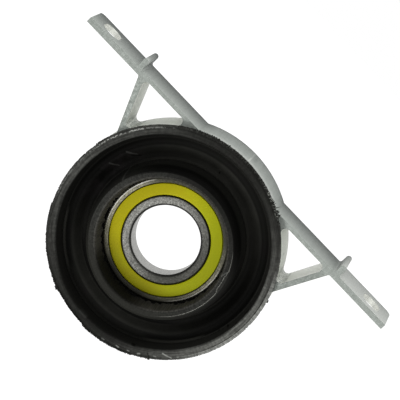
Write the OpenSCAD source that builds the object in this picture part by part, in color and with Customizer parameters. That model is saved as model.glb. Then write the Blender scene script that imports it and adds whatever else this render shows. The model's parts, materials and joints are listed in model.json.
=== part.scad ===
// Driveshaft centre bearing: an aluminium bracket whose ring carries a sealed ball bearing
// in a folded rubber mount. Origin at the bearing's centre, +Y along the shaft away from the
// lipped front, +Z up to the bar that bolts to the floor pan. Millimetres.

/* [Bearing] */
// Bore of the inner ring, a press fit on the shaft
bearing_bore = 30; // [28:0.5:32]
// Outside diameter of the outer ring
bearing_od = 55; // [53:0.5:57]
// Chamfer on the rings' outer corners
ring_chamfer = 1; // [0.4:0.1:1.2]
// Ball diameter as a share of the height from bore to outside
ball_share = 0.5715; // [0.5:0.0005:0.58]
// Number of balls
ball_count = 11; // [7:1:11]
// Depth of the ball groove below the shoulders, as a share of the ball diameter
race_share = 0.2016; // [0.16:0.0004:0.21]
// Groove radius as a share of the ball diameter
race_conformity = 0.52; // [0.51:0.005:0.53]
// Radial play between a ball and each groove
ball_play = 0.02; // [0.01:0.005:0.05]

/* [Seals and cage] */
// Radial step from the outer ring's shoulder to the seal's seat, as a share of the ball diameter
seal_step_share = 0.21; // [0.17:0.005:0.22]
// Thickness of a seal
seal_t = 1.5; // [1.2:0.1:1.8]
// Gap along the shaft between the cage's bulges and a seal's seat
cage_gap = 0.408; // [0.3:0.004:0.7]
// How far a seal lies below the ring's face
seal_recess = 0.3; // [0.1:0.05:0.4]
// Depth of the snap groove that holds a seal
seal_bead = 0.45; // [0.3:0.05:0.6]
// Gap between a seal's lip and the inner ring
seal_gap = 0.12; // [0.05:0.01:0.2]
// Sheet thickness of the cage
cage_t = 0.6; // [0.4:0.05:0.65]
// Radial width of the cage ribbon as a share of the ball diameter
cage_share = 0.504; // [0.35:0.002:0.52]
// Clearance of a ball in its cage pocket
pocket_play = 0.12; // [0.05:0.01:0.15]
// Shank diameter of a cage rivet
rivet_d = 1.2; // [0.8:0.1:1.3]
// Head diameter of a cage rivet
rivet_head_d = 1.9; // [1.6:0.1:2.2]
// Head height of a cage rivet
rivet_head_h = 0.45; // [0.3:0.05:0.6]

/* [Bracket ring] */
// Outside diameter of the ring
ring_od = 100.6; // [98:0.2:104]
// Wall of the ring
ring_wall = 3.2; // [2.5:0.1:4]
// Depth of the whole bracket along the shaft
bracket_depth = 23.9; // [22:0.1:28]
// How far the bracket's front stands ahead of the bearing's front
bracket_lead = 3.1; // [2:0.1:4.5]

/* [Bar, feet and fins] */
// Length of the bar over both feet
bar_len = 179.6; // [174:0.2:190]
// How far the bar's top lies below the ring's top
bar_drop = 5.9; // [4.5:0.1:7]
// Thickness of the bar between ring and strut
span_t = 1.8; // [1.5:0.1:3]
// Thickness of a foot
foot_t = 2.7; // [2.4:0.1:4]
// Corner radius at the rear of a foot
foot_corner = 3; // [1:0.5:5]
// Distance of a slot's middle from the foot's end
slot_inset = 10.1; // [8:0.1:12]
// Width of a slot across the bar
slot_w = 9; // [6.6:0.1:10]
// Length of a slot along the shaft
slot_len = 13.5; // [11:0.1:16]
// How far a fin's middle stands outside the strut's foot
fin_lead = 2; // [1.6:0.1:4]
// Thickness of a fin
fin_t = 2.7; // [2.2:0.1:3.4]
// Height of a fin above the bar
fin_h = 4.9; // [3:0.1:8]
// Fillet at the foot of a fin
fin_fillet = 1; // [0.5:0.1:1.5]

/* [Struts] */
// How far outside the ring the strut's outer face meets the foot
strut_reach = 7.9; // [6.5:0.1:9]
// Slope of the strut from the upright
strut_slope = 27.3; // [25:0.1:30]
// Thickness of a strut
strut_t = 2.6; // [2.2:0.1:3.4]
// Fillet in the strut's corners
strut_fillet = 2; // [1:0.1:2.5]

/* [Rubber mount] */
// Thickness of the lip on the bracket's front
lip_t = 4.6; // [3:0.1:5]
// Width of the lip, inwards from the ring's outside
lip_w = 3.9; // [3.5:0.1:5]
// Thickness of the cup wall inside the ring
cup_wall = 2.3; // [1.6:0.1:2.6]
// How far the cup wall stops short of the bracket's rear
cup_short = 3.5; // [1:0.1:6]
// Wall of the collar round the bearing, at its mouth
collar_wall = 3.6; // [3:0.1:4.6]
// How far the collar stands ahead of the bearing
collar_lead = 11.3; // [9:0.1:12]
// Widening of the collar's outside from its mouth to its root
collar_taper = 3.8; // [2:0.1:4.5]
// Widening of the collar's outside over the bevel at its mouth
collar_bevel = 1.4; // [0.8:0.1:1.8]
// Length of that bevel, along the shaft
collar_bevel_len = 2.6; // [1.5:0.1:3.5]
// Rounding of the collar's mouth, inside
mouth_round = 1.1; // [0.5:0.1:1.5]
// Height of the stop lip behind the bearing
stop_lip = 1.6; // [1:0.1:2]
// Thickness of that stop lip
stop_lip_t = 2; // [1.4:0.1:3]
// Thickness of the folded membrane, along the shaft
membrane_t = 2.8; // [1.8:0.1:3.2]
// Depth of the membrane's outer step behind the lip's face
step_depth = 7.7; // [7:0.1:9]
// Place of the fold's crest from the collar's root to the cup wall, as a share
fold_share = 0.557; // [0.5:0.001:0.66]
// Depth of the valley between the outer step and the fold, behind the step
valley_drop = 1.4; // [0.6:0.1:2]
// Height of the fold's crest ahead of that valley
fold_rise = 0.6; // [0.3:0.1:1.5]
// Depth of the trough behind the fold's crest
trough_drop = 3.4; // [2.5:0.1:6]
// Place of the trough from the collar's root to the fold's crest, as a share
trough_share = 0.25; // [0.2:0.01:0.5]
// Rounding of the lip's and the collar's edges
edge_round = 0.7; // [0.3:0.1:0.9]
// Rounding of the membrane's folds
fold_round = 1.6; // [0.8:0.1:1.8]
// Clearance of pieces in their seats
seat_play = 0.03; // [0.02:0.01:0.05]

/* [Hidden] */
$fn = 96;
fillet_steps = 5;
side_share = 0.49;

pitch_r = (bearing_bore + bearing_od) / 4;
ball_d = ball_share * (bearing_od - bearing_bore) / 2;
ball_r = ball_d / 2;
race_depth = race_share * ball_d;
cage_w = cage_share * ball_d;
race_r = race_conformity * ball_d;
inner_race_bottom = pitch_r - ball_r - ball_play;
outer_race_bottom = pitch_r + ball_r + ball_play;
inner_land_r = inner_race_bottom + race_depth;
outer_land_r = outer_race_bottom - race_depth;
seal_seat_r = outer_land_r + seal_step_share * ball_d;
bead_h = seal_t / 2;
pocket_r = ball_r + pocket_play;
ball_angle = 360 / ball_count;

// From the bearing's middle to a seal's seat, its outer face and the rings' faces
seal_back = pocket_r + cage_t + cage_gap;
seal_face = seal_back + seal_t;
half_w = seal_face + seal_recess;

ring_r = ring_od / 2;
ring_bore_r = ring_r - ring_wall;
bracket_front = -half_w - bracket_lead;
bracket_rear = bracket_front + bracket_depth;
bracket_mid = (bracket_front + bracket_rear) / 2;
bar_half = bar_len / 2;
bar_top = ring_r - bar_drop;
slot_x = bar_half - slot_inset;
strut_top_x = ring_r + strut_reach;
fin_x = strut_top_x + fin_lead;
span_under = bar_top - span_t;
foot_under = bar_top - foot_t;
overrun = 1;
fillet_root = 0.5;
fillet_sink = 0.01;

// Unit vectors along a right-hand strut, upwards, and across it, away from the shaft
strut_up = [sin(strut_slope), cos(strut_slope)];
strut_out = [cos(strut_slope), -sin(strut_slope)];
strut_foot = [strut_top_x, foot_under];

collar_in = bearing_od / 2 + seat_play;
collar_out = bearing_od / 2 + collar_wall;
collar_root = collar_out + collar_taper;
collar_front = -half_w - collar_lead;
collar_rear = half_w + stop_lip_t;
lip_front = bracket_front - lip_t;
cup_out = ring_bore_r - seat_play;
cup_in = cup_out - cup_wall;
cup_rear = bracket_rear - cup_short;
step_y = lip_front + step_depth;
valley_y = step_y + valley_drop;
fold_y = valley_y - fold_rise;
trough_y = fold_y + trough_drop;
fold_r = collar_root + fold_share * (cup_in - collar_root);
valley_r = (cup_in + fold_r) / 2;
trough_r = collar_root + trough_share * (fold_r - collar_root);

aluminium = [0.66, 0.68, 0.66];
black_rubber = [0.12, 0.12, 0.12];
bearing_steel = [0.56, 0.56, 0.54];
seal_yellow = [0.70, 0.66, 0.12];
cage_steel = [0.45, 0.45, 0.43];

function unit(v) = v / norm(v);

// The arc that rounds corner p, between its neighbours a and b, to radius size,
// or to as much of it as leaves each neighbour half of the side between them
function corner_arc(a, p, b, size) =
    let (
        to_a = unit(a - p),
        to_b = unit(b - p),
        half = acos(to_a * to_b) / 2,
        side = min(norm(a - p), norm(b - p)),
        r = min(size, side_share * side * tan(half)),
        centre = p + unit(to_a + to_b) * r / sin(half),
        first = p + to_a * r / tan(half) - centre,
        start = atan2(first.y, first.x),
        turn = cross(p - a, b - p) > 0 ? 1 : -1,
        sweep = turn * (180 - 2 * half)
    )
    [for (k = [0:fillet_steps])
        let (angle = start + sweep * k / fillet_steps)
        centre + r * [cos(angle), sin(angle)]];

// An outline of [x, y, corner radius] points with its corners rounded
function rounded(corners) =
    let (count = len(corners))
    [for (i = [0:count - 1])
        let (
            c = corners[i],
            p = [c.x, c.y],
            before = corners[(i + count - 1) % count],
            after = corners[(i + 1) % count],
            a = [before.x, before.y],
            b = [after.x, after.y]
        )
        each c.z > 0 ? corner_arc(a, p, b, c.z) : [p]];

// Where the line from p along direction d enters the circle of radius r round the origin
function enters_circle(p, d, r) =
    let (along = p * d)
    p - d * (sqrt(along * along - p * p + r * r) + along);

// Where the line from p along direction d leaves that circle
function leaves_circle(p, d, r) =
    let (along = p * d)
    p + d * (sqrt(along * along - p * p + r * r) - along);

// Turns a radial section, drawn as radius and place along the shaft, round the Y axis
module turned() {
    rotate([-90, 0, 0])
        rotate_extrude($fn = 128)
            children();
}

// Extrudes an outline drawn in X and Z from one place along the shaft to another
module along_shaft(from, to) {
    translate([0, to, 0])
        rotate([90, 0, 0])
            linear_extrude(to - from)
                children();
}

// Extrudes an outline over the bracket's whole depth
module plate() {
    along_shaft(bracket_front, bracket_rear)
        children();
}

// Places its children on both sides of the shaft
module both_sides() {
    children();
    mirror([1, 0, 0])
        children();
}

// Places its children at each ball's angle, turned by an offset
module at_each_ball(offset_angle) {
    for (i = [0:ball_count - 1])
        rotate([0, i * ball_angle + offset_angle, 0])
            translate([0, 0, pitch_r])
                children();
}

// Metal that fills a sharp corner up to a fillet of radius r round centre c. It starts inside
// the metal behind the corner, and its two ends sink into the faces that they touch.
module fillet(corner, touch_a, c, touch_b, r) {
    plate()
        difference() {
            polygon([
                corner + unit(corner - c) * fillet_root,
                touch_a + unit(touch_a - c) * fillet_root,
                c,
                touch_b + unit(touch_b - c) * fillet_root
            ]);
            translate(c)
                circle(r + fillet_sink, $fn = 48);
        }
}

// Fillet between the ring's outside and the face that leaves it at corner along direction d;
// side is the unit vector from that face towards the fillet's centre
module ring_fillet(corner, d, side, r) {
    c = leaves_circle(corner + side * r, d, ring_r + r);
    fillet(corner, c - side * r, c, unit(c) * ring_r, r);
}

// Fillet between two straight faces that leave a corner along directions a and b
module straight_fillet(corner, a, b, r) {
    half = acos(a * b) / 2;
    run = r / tan(half);
    c = corner + unit(a + b) * r / sin(half);
    fillet(corner, corner + a * run, c, corner + b * run, r);
}

// The slanting plate between a foot and the ring, with its four fillets
module strut() {
    inner_foot = strut_foot - strut_out * strut_t;
    inner_top = inner_foot + strut_up * (span_under - inner_foot.y) / strut_up.y;
    outer_low = enters_circle(strut_foot, -strut_up, ring_r);
    inner_low = enters_circle(inner_foot, -strut_up, ring_r);
    plate()
        polygon([
            strut_foot + strut_up * foot_t / 2,
            outer_low - strut_up * ring_wall / 2,
            inner_low - strut_up * ring_wall / 2,
            inner_top + strut_up * span_t / 2
        ]);
    straight_fillet(strut_foot, -strut_up, [1, 0], strut_fillet / 2);
    straight_fillet(inner_top, -strut_up, [-1, 0], strut_fillet);
    ring_fillet(outer_low, strut_up, strut_out, strut_fillet / 2);
    ring_fillet(inner_low, strut_up, -strut_out, strut_fillet);
}

// Half of the bar from the ring outwards: the thin span, the thicker foot and their fillet
module bar() {
    span_corner = [sqrt(ring_r * ring_r - span_under * span_under), span_under];
    plate()
        translate([ring_bore_r / 4, span_under])
            square([bar_half - ring_bore_r / 4, span_t]);
    plate()
        translate([strut_top_x, foot_under])
            square([bar_half - strut_top_x, foot_t]);
    ring_fillet(span_corner, [1, 0], [0, -1], strut_fillet);
}

// A round-topped fin across the bar
module fin() {
    tip = fin_h - fin_t / 2;
    translate([fin_x, 0, bar_top]) {
        plate()
            translate([-fin_t / 2, -foot_t / 2])
                square([fin_t, tip + foot_t / 2]);
        plate()
            translate([0, tip])
                circle(fin_t / 2, $fn = 48);
        both_sides()
            straight_fillet([fin_t / 2, 0], [1, 0], [0, 1], fin_fillet);
    }
}

module foot_slot() {
    run = slot_len - slot_w;
    translate([slot_x, bracket_mid, foot_under - overrun])
        linear_extrude(foot_t + 2 * overrun) {
            square([slot_w, run], center = true);
            for (side = [-1, 1])
                translate([0, side * run / 2])
                    circle(slot_w / 2);
        }
}

// What rounds a foot's rear corner takes away
module foot_corner_cut() {
    translate([bar_half - foot_corner, bracket_rear - foot_corner, foot_under - overrun])
        difference() {
            cube([foot_corner + overrun, foot_corner + overrun, foot_t + 2 * overrun]);
            cylinder(h = 3 * foot_t + 3 * overrun, r = foot_corner, center = true);
        }
}

module bracket() {
    color(aluminium)
        difference() {
            union() {
                plate()
                    circle(ring_r);
                both_sides() {
                    bar();
                    strut();
                    fin();
                }
            }
            along_shaft(bracket_front - overrun, bracket_rear + overrun)
                circle(ring_bore_r);
            both_sides() {
                foot_slot();
                foot_corner_cut();
            }
        }
}

// Half section of the rubber, from the lip over the folded membrane to the collar and back
module rubber_section() {
    polygon(rounded([
        [ring_r, bracket_front, 0],
        [ring_r, lip_front, edge_round],
        [ring_r - lip_w, lip_front, edge_round],
        [cup_in, step_y, fold_round / 2],
        [valley_r, valley_y, fold_round],
        [fold_r, fold_y, fold_round],
        [trough_r, trough_y, fold_round],
        [collar_root, trough_y - trough_drop / 2, fold_round],
        [collar_out + collar_bevel, collar_front + collar_bevel_len, edge_round],
        [collar_out, collar_front, edge_round / 2],
        [collar_in, collar_front, mouth_round],
        [collar_in, half_w + seat_play, 0],
        [collar_in - stop_lip, half_w + seat_play, 0],
        [collar_in - stop_lip, collar_rear, edge_round],
        [collar_root, collar_rear, 0],
        [trough_r, trough_y + membrane_t, fold_round],
        [fold_r + membrane_t / 3, fold_y + membrane_t, fold_round],
        [valley_r, valley_y + membrane_t, fold_round],
        [cup_in, step_y + membrane_t, fold_round / 2],
        [cup_in, cup_rear, edge_round],
        [cup_out, cup_rear, 0],
        [cup_out, bracket_front, 0]
    ]));
}

module rubber_mount() {
    color(black_rubber)
        turned()
            rubber_section();
}

// Snap groove for a seal's bead, at the front; the bead itself is a play smaller
module seal_bead_section(play) {
    translate([seal_seat_r - play, -seal_face + bead_h / 2 + play])
        polygon([
            [-seal_bead, 0],
            [seal_bead, bead_h / 2],
            [seal_bead, bead_h - 2 * play],
            [-seal_bead, bead_h - 2 * play]
        ]);
}

module bearing_outer_ring() {
    r_out = bearing_od / 2;
    c = ring_chamfer;
    color(bearing_steel)
        turned()
            difference() {
                polygon([
                    [seal_seat_r, -half_w],
                    [r_out - c, -half_w],
                    [r_out, -half_w + c],
                    [r_out, half_w - c],
                    [r_out - c, half_w],
                    [seal_seat_r, half_w],
                    [seal_seat_r, seal_back],
                    [outer_land_r, seal_back],
                    [outer_land_r, -seal_back],
                    [seal_seat_r, -seal_back]
                ]);
                translate([outer_race_bottom - race_r, 0])
                    circle(race_r);
                for (end = [0, 1])
                    mirror([0, end])
                        seal_bead_section(0);
            }
}

module bearing_inner_ring() {
    r_in = bearing_bore / 2;
    c = ring_chamfer;
    edge = c / 3;
    color(bearing_steel)
        turned()
            difference() {
                polygon([
                    [r_in + c, -half_w],
                    [inner_land_r - edge, -half_w],
                    [inner_land_r, -half_w + edge],
                    [inner_land_r, half_w - edge],
                    [inner_land_r - edge, half_w],
                    [r_in + c, half_w],
                    [r_in, half_w - c],
                    [r_in, -half_w + c]
                ]);
                translate([inner_race_bottom + race_r, 0])
                    circle(race_r);
            }
}

// A moulded seal, drawn at the front: rim bead, shallow dished web and lip
module seal_section() {
    rim_w = 1;
    dish = 0.25;
    lip_r = inner_land_r + seal_gap;
    seat_r = seal_seat_r - seat_play;
    polygon([
        [lip_r, -seal_face],
        [lip_r + rim_w, -seal_face],
        [lip_r + rim_w + dish, -seal_face + dish],
        [seat_r - rim_w - dish, -seal_face + dish],
        [seat_r - rim_w, -seal_face],
        [seat_r, -seal_face],
        [seat_r, -seal_back - seat_play],
        [outer_land_r - rim_w, -seal_back - seat_play],
        [lip_r, -seal_back - seat_play - dish]
    ]);
    seal_bead_section(seat_play);
}

module seal_front() {
    color(seal_yellow)
        turned()
            seal_section();
}

module seal_rear() {
    color(seal_yellow)
        mirror([0, 1, 0])
            turned()
                seal_section();
}

// One stamped half of the ribbon cage, bulging to the front round each ball
module cage_half() {
    bulge = pocket_r + cage_t;
    inner_r = pitch_r - cage_w / 2;
    outer_r = pitch_r + cage_w / 2;
    difference() {
        intersection() {
            turned()
                translate([inner_r, -bulge])
                    square([cage_w, bulge]);
            union() {
                turned()
                    translate([inner_r - overrun, -cage_t])
                        square([cage_w + 2 * overrun, cage_t + overrun]);
                at_each_ball(0)
                    sphere(bulge, $fn = 48);
            }
        }
        at_each_ball(0)
            sphere(pocket_r, $fn = 48);
        at_each_ball(ball_angle / 2)
            rotate([90, 0, 0])
                cylinder(h = 4 * cage_t, r = rivet_d / 2 + seat_play, center = true, $fn = 24);
    }
}

module cage_front() {
    color(cage_steel)
        cage_half();
}

module cage_rear() {
    color(cage_steel)
        mirror([0, 1, 0])
            cage_half();
}

module cage_rivet() {
    rotate([-90, 0, 0])
        rotate_extrude($fn = 32)
            polygon([
                [0, -cage_t - rivet_head_h],
                [rivet_head_d / 4, -cage_t - rivet_head_h],
                [rivet_head_d / 2, -cage_t - rivet_head_h / 2],
                [rivet_head_d / 2, -cage_t],
                [rivet_d / 2, -cage_t],
                [rivet_d / 2, cage_t],
                [rivet_head_d / 2, cage_t],
                [rivet_head_d / 2, cage_t + rivet_head_h / 2],
                [rivet_head_d / 4, cage_t + rivet_head_h],
                [0, cage_t + rivet_head_h]
            ]);
}

module cage_rivets() {
    color(cage_steel)
        at_each_ball(ball_angle / 2)
            cage_rivet();
}

// Ball number i, counted round the shaft from the top
module ball(i) {
    color(bearing_steel)
        rotate([0, (i - 1) * ball_angle, 0])
            translate([0, 0, pitch_r])
                sphere(ball_r, $fn = 64);
}

bracket();
rubber_mount();
bearing_outer_ring();
bearing_inner_ring();
seal_front();
seal_rear();
cage_front();
cage_rear();
cage_rivets();
for (i = [1:ball_count])
    ball(i);
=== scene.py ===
# %% [markdown]
# Driveshaft centre bearing, dressed for looks
#
# The object is an aluminium bracket whose ring holds a folded black rubber mount, and the rubber
# holds a sealed ball bearing with yellow seals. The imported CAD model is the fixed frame: it gives
# the bodies that move and the true sizes. This file adds finer pieces and procedural finishes.
# Lengths are written in millimetres and turned to metres by MM, because Blender works in metres.

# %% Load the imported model
import json
import math

import bmesh
import bpy
from mathutils import Matrix, Vector

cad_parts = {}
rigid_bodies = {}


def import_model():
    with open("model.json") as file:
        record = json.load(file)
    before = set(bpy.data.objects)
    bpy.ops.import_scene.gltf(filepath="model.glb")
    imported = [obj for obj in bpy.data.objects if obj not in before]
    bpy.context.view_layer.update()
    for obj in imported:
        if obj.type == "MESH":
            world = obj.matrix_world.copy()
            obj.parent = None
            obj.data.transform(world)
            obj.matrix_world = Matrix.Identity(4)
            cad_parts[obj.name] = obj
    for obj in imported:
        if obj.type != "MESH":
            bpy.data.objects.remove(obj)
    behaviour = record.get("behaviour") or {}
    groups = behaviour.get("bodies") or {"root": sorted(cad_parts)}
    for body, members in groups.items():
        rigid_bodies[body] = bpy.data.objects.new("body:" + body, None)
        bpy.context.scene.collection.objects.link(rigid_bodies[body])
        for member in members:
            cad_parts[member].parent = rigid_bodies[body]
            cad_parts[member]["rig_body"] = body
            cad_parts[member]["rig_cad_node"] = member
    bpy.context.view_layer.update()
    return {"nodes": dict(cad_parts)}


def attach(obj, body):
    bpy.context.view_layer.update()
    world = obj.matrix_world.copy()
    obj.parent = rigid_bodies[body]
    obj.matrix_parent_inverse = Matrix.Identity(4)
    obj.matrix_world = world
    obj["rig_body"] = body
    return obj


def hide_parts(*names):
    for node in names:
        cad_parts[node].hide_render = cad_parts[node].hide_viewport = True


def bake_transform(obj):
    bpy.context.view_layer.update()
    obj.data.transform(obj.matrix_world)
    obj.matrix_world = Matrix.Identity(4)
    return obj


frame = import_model()
MM = 0.001

# %% [markdown]
# The camera
#
# The photograph looks at the bearing's front from a little above, with the picture rolled so that
# the bar runs from top left to bottom right. A long lens could be placed by eye, but the circles of
# the bearing give the view exactly: how far they are squashed gives the tilt, and the bar's slope
# gives the roll. So the camera is built from those numbers.

# %% Camera at the photograph's angle
view_tilt = math.radians(12.9)
view_roll = math.radians(46.33)
view_distance = 1100 * MM
pixels_per_metre = 2345
picture_size = 400
bearing_pixel = (165.5, 240.3)
bearing_front = Vector((0, -6.5 * MM, 0))

across = Vector((1, 0, 0))
upward = Vector((0, math.sin(view_tilt), math.cos(view_tilt)))
ahead = Vector((0, math.cos(view_tilt), -math.sin(view_tilt)))
roll_cos, roll_sin = math.cos(view_roll), math.sin(view_roll)
off_x = (bearing_pixel[0] - picture_size / 2) / pixels_per_metre
off_y = (bearing_pixel[1] - picture_size / 2) / pixels_per_metre
eye = (
    bearing_front
    - across * (off_x * roll_cos + off_y * roll_sin)
    - upward * (off_x * roll_sin - off_y * roll_cos)
    - ahead * view_distance
)
picture_right = across * roll_cos + upward * roll_sin
picture_up = upward * roll_cos - across * roll_sin

bpy.ops.object.select_all(action="DESELECT")
bpy.ops.object.camera_add(location=eye)
camera = bpy.context.object
camera.name = "photo_camera"
camera.rotation_euler = Matrix((picture_right, picture_up, -ahead)).transposed().to_euler()
sensor_width = 36
camera.data.sensor_width = sensor_width
camera.data.lens = sensor_width * pixels_per_metre * view_distance / picture_size
camera.data.clip_end = 20
bpy.context.scene.camera = camera
print("camera at", [round(c, 3) for c in eye], "lens", round(camera.data.lens, 1))

# %% [markdown]
# Shader nodes from Python
#
# Finishes and lights are graphs of nodes. They could be wired by hand in the shader editor, but
# most effects are needed many times over. So a few helpers add a node, set or link its inputs, and
# give its output to the next one.


# %% Helpers for shader nodes
def add_node(tree, kind, inputs=None, **settings):
    """Adds a shader node. An input is given a value, or a socket to link from."""
    made = tree.nodes.new(kind)
    for key, value in settings.items():
        setattr(made, key, value)
    for key, value in (inputs or {}).items():
        if isinstance(value, bpy.types.NodeSocket):
            tree.links.new(value, made.inputs[key])
        else:
            made.inputs[key].default_value = value
    return made


def math_node(tree, operation, *values, clamp=False):
    """Adds a Math node on values or sockets and gives its output."""
    made = add_node(tree, "ShaderNodeMath", dict(enumerate(values)), operation=operation)
    made.use_clamp = clamp
    return made.outputs[0]


def mix_colour(tree, share, first, second):
    """Mixes two colours by a share and gives the result."""
    made = add_node(tree, "ShaderNodeMix", data_type="RGBA")
    for index, value in ((0, share), (6, first), (7, second)):
        if isinstance(value, bpy.types.NodeSocket):
            tree.links.new(value, made.inputs[index])
        else:
            made.inputs[index].default_value = value
    return made.outputs[2]


def vector_math(tree, operation, *values, **named):
    """Adds a Vector Math node on values or sockets and gives its outputs."""
    inputs = {**dict(enumerate(values)), **named}
    return add_node(tree, "ShaderNodeVectorMath", inputs, operation=operation).outputs


def absolute(tree, value):
    """A value without its sign."""
    return math_node(tree, "ABSOLUTE", value)


def largest(tree, first, second):
    """The larger of two values."""
    return math_node(tree, "MAXIMUM", first, second)


def times(tree, first, *others):
    """The product of several values."""
    for other in others:
        first = math_node(tree, "MULTIPLY", first, other)
    return first


def between(tree, value, low, high, start=0.0, end=1.0, smooth=True):
    """Maps a value from low..high to start..end, smoothly and held at both ends."""
    made = add_node(
        tree,
        "ShaderNodeMapRange",
        {"Value": value, "From Min": low, "From Max": high, "To Min": start, "To Max": end},
        interpolation_type="SMOOTHSTEP" if smooth else "LINEAR",
    )
    return made.outputs[0]


def seen_directly(tree):
    """1 for rays from the camera, in reflections and through glass."""
    path = add_node(tree, "ShaderNodeLightPath")
    shiny = largest(tree, path.outputs["Is Camera Ray"], path.outputs["Is Glossy Ray"])
    return largest(tree, shiny, path.outputs["Is Transmission Ray"])


# %% [markdown]
# Light and floor
#
# The photograph is a cut-out on white under soft light. A bright lamp would wash out the colours,
# so an even white world gives most of the light. What the camera and reflections see of the world
# and the floor is plain white. The floor lies well below the part and the lamps, so that its soft
# shadow stays out of the photograph's view.

# %% World and floor
WHITE = (1, 1, 1, 1)
scene = bpy.context.scene
scene.view_settings.view_transform = "Standard"
scene.world = bpy.data.worlds.new("studio_white")
scene.world.use_nodes = True
world = scene.world.node_tree
world.nodes.clear()
lighting = add_node(world, "ShaderNodeBackground", {"Color": WHITE, "Strength": 0.4})
backdrop = add_node(world, "ShaderNodeBackground", {"Color": WHITE, "Strength": 1.0})
shown = add_node(
    world,
    "ShaderNodeMixShader",
    {0: seen_directly(world), 1: lighting.outputs[0], 2: backdrop.outputs[0]},
)
add_node(world, "ShaderNodeOutputWorld", {"Surface": shown.outputs[0]})

floor_drop = 750 * MM
bpy.ops.object.select_all(action="DESELECT")
bpy.ops.mesh.primitive_plane_add(size=12, location=(0, 0, -floor_drop))
floor = bpy.context.object
floor.name = "studio_floor"
floor_paint = bpy.data.materials.new("floor_white")
floor_paint.use_nodes = True
tree = floor_paint.node_tree
tree.nodes.clear()
matt = add_node(tree, "ShaderNodeBsdfDiffuse", {"Color": (0.85, 0.85, 0.85, 1)})
glow = add_node(
    tree,
    "ShaderNodeEmission",
    {"Color": WHITE, "Strength": math_node(tree, "MULTIPLY", seen_directly(tree), 0.8)},
)
both = add_node(tree, "ShaderNodeAddShader", {0: matt.outputs[0], 1: glow.outputs[0]})
add_node(tree, "ShaderNodeOutputMaterial", {"Surface": both.outputs[0]})
floor.data.materials.append(floor_paint)
print("floor at", -floor_drop, "m")

# %% [markdown]
# Lamps
#
# In the photograph the seal is darkest at its low side, where the collar keeps the light off, so
# the key lamp stands in front and low. Sun lamps would draw hard shadows into the folds. Large
# squares of light turn them soft.


# %% Three soft lamps
def soft_lamp(name, place, size, power):
    """A square area lamp that faces the bearing."""
    bpy.ops.object.select_all(action="DESELECT")
    bpy.ops.object.light_add(type="AREA", location=place)
    lamp = bpy.context.object
    lamp.name = name
    lamp.data.size = size
    lamp.data.energy = power
    lamp.rotation_euler = (-Vector(place)).to_track_quat("-Z", "Y").to_euler()


soft_lamp("key_lamp", (0.06, -0.9, -0.52), 0.35, 5.5)
soft_lamp("front_lamp", (0.0, -1.2, 0.3), 0.4, 2.5)
soft_lamp("top_lamp", (-0.05, -0.25, 1.1), 0.7, 6)

# %% [markdown]
# Turned pieces
#
# The rubber, the rings and the seals are all bodies of revolution. They could be cylinders with
# many inset and scaled loops, but a section drawn point by point and spun round the shaft gives
# each groove and rounding its true place. One vertex is extruded along the section, each corner
# is rounded by a vertex bevel, and the outline is spun round the Y axis.


# %% Helpers that draw and spin a section
SAME_PLACE = 0.002
RING_STEPS = 192
SMOOTH_BELOW = math.radians(38)


def edit_only(piece):
    """Selects the piece alone and goes into edit mode."""
    bpy.ops.object.select_all(action="DESELECT")
    piece.select_set(True)
    bpy.context.view_layer.objects.active = piece
    bpy.ops.object.mode_set(mode="EDIT")


def select_where(piece, test):
    """Selects the vertices of the piece in edit mode that pass a test on their place in mm."""
    bpy.ops.mesh.select_mode(type="VERT")
    bpy.ops.mesh.select_all(action="DESELECT")
    edit_mesh = bmesh.from_edit_mesh(piece.data)
    for vertex in edit_mesh.verts:
        if test(vertex.co / MM):
            vertex.select_set(True)
    edit_mesh.select_flush_mode()
    bmesh.update_edit_mesh(piece.data)


def degrees_round(place):
    """Angle of a place round the shaft: 0 at the top, 90 on the right."""
    return math.degrees(math.atan2(place.x, place.z)) % 360


def draw_section(name, section):
    """Draws an outline of (radius, place along the shaft, rounding) and stays in edit mode."""
    bpy.ops.object.select_all(action="DESELECT")
    bpy.ops.mesh.primitive_plane_add(size=MM)
    piece = bpy.context.object
    piece.name = piece.data.name = name
    bpy.ops.object.mode_set(mode="EDIT")
    bpy.ops.mesh.select_all(action="SELECT")
    bpy.ops.mesh.merge(type="CENTER")
    here = Vector((0, 0, 0))
    for index, (radius, along, rounding) in enumerate(section):
        there = Vector((radius, along, 0)) * MM
        if index == 0:
            bpy.ops.transform.translate(value=there)
        else:
            bpy.ops.mesh.extrude_region_move(TRANSFORM_OT_translate={"value": there - here})
        here = there
    ends = [Vector((r, y, 0)) for r, y, rounding in (section[0], section[-1])]
    select_where(piece, lambda p: min((p - e).length for e in ends) < SAME_PLACE)
    bpy.ops.mesh.edge_face_add()
    for radius, along, rounding in section:
        if rounding > 0:
            corner = Vector((radius, along, 0))
            select_where(piece, lambda p: (p - corner).length < SAME_PLACE)
            bpy.ops.mesh.bevel(offset=rounding * MM, segments=4, affect="VERTICES")
    return piece


def turned(name, section, steps=RING_STEPS):
    """Spins a section round the shaft into a closed ring."""
    piece = draw_section(name, section)
    bpy.ops.mesh.select_all(action="SELECT")
    bpy.ops.mesh.spin(steps=steps, angle=2 * math.pi, center=(0, 0, 0), axis=(0, 1, 0))
    bpy.ops.mesh.select_all(action="SELECT")
    bpy.ops.mesh.remove_doubles(threshold=1e-6)
    bpy.ops.mesh.normals_make_consistent(inside=False)
    bpy.ops.object.mode_set(mode="OBJECT")
    bpy.ops.object.shade_smooth_by_angle(angle=SMOOTH_BELOW)
    print(name, "faces:", len(piece.data.polygons))
    return piece
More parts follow.
